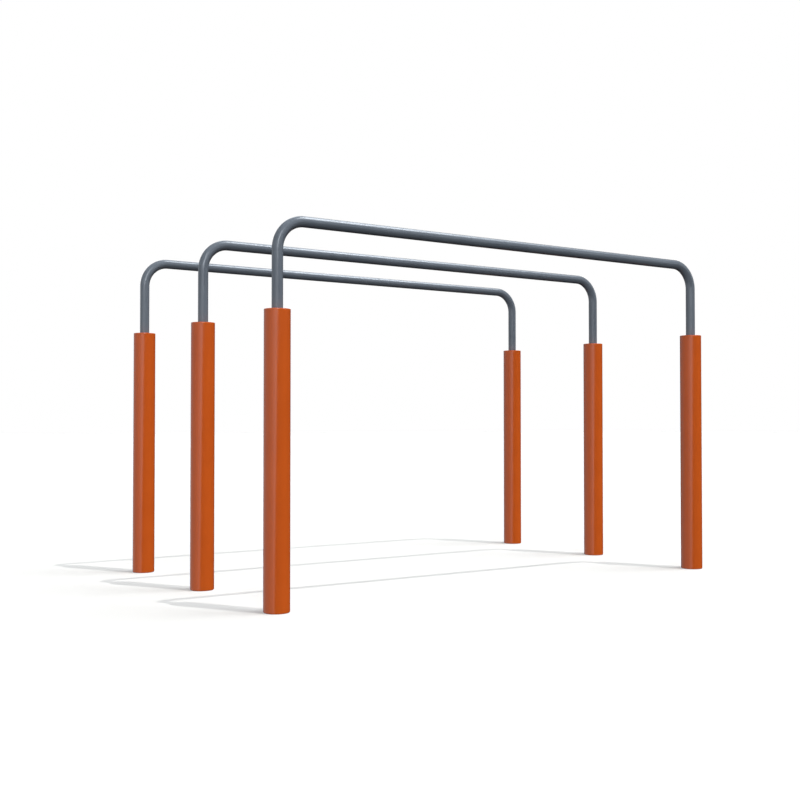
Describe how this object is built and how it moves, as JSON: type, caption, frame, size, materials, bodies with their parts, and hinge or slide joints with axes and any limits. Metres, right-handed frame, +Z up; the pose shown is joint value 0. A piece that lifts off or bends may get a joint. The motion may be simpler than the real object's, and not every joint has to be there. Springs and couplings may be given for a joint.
{
  "type": "parallel bars",
  "caption": "Outdoor parallel bars for dips and support work: bent tube bars side by side, each carried by round upright posts with an inner ground fixing.",
  "frame": {"origin": "on the ground, at the centre of the object's footprint", "axes": "+X along the bars, +Y from the front bar to the rear bar, +Z up"},
  "size_m": [2.089, 1.289, 1.319],
  "materials": {
    "orange_coat": "glossy orange powder coat on steel tube",
    "grey_coat": "satin blue-grey metallic powder coat on steel tube",
    "zinc_plate": "zinc plated or galvanised steel",
    "black_rubber": "matt EPDM rubber",
    "black_nylon": "matt moulded nylon"
  },
  "bodies": {
    "root": {"bar_front": "grey_coat", "post_front_left": "orange_coat", "cap_front_left": "orange_coat", "leg_seal_front_left": "black_rubber", "lock_collar_front_left": "zinc_plate", "guide_bush_front_left": "black_nylon", "leg_screw_front_left": "zinc_plate", "spigot_front_left": "zinc_plate", "anchor_disc_front_left": "zinc_plate", "foot_screw_front_left": "zinc_plate", "post_front_right": "orange_coat", "cap_front_right": "orange_coat", "leg_seal_front_right": "black_rubber", "lock_collar_front_right": "zinc_plate", "guide_bush_front_right": "black_nylon", "leg_screw_front_right": "zinc_plate", "spigot_front_right": "zinc_plate", "anchor_disc_front_right": "zinc_plate", "foot_screw_front_right": "zinc_plate", "bar_middle": "grey_coat", "post_middle_left": "orange_coat", "cap_middle_left": "orange_coat", "leg_seal_middle_left": "black_rubber", "lock_collar_middle_left": "zinc_plate", "guide_bush_middle_left": "black_nylon", "leg_screw_middle_left": "zinc_plate", "spigot_middle_left": "zinc_plate", "anchor_disc_middle_left": "zinc_plate", "foot_screw_middle_left": "zinc_plate", "post_middle_right": "orange_coat", "cap_middle_right": "orange_coat", "leg_seal_middle_right": "black_rubber", "lock_collar_middle_right": "zinc_plate", "guide_bush_middle_right": "black_nylon", "leg_screw_middle_right": "zinc_plate", "spigot_middle_right": "zinc_plate", "anchor_disc_middle_right": "zinc_plate", "foot_screw_middle_right": "zinc_plate", "bar_rear": "grey_coat", "post_rear_left": "orange_coat", "cap_rear_left": "orange_coat", "leg_seal_rear_left": "black_rubber", "lock_collar_rear_left": "zinc_plate", "guide_bush_rear_left": "black_nylon", "leg_screw_rear_left": "zinc_plate", "spigot_rear_left": "zinc_plate", "anchor_disc_rear_left": "zinc_plate", "foot_screw_rear_left": "zinc_plate", "post_rear_right": "orange_coat", "cap_rear_right": "orange_coat", "leg_seal_rear_right": "black_rubber", "lock_collar_rear_right": "zinc_plate", "guide_bush_rear_right": "black_nylon", "leg_screw_rear_right": "zinc_plate", "spigot_rear_right": "zinc_plate", "anchor_disc_rear_right": "zinc_plate", "foot_screw_rear_right": "zinc_plate"}
  },
  "joints": []
}
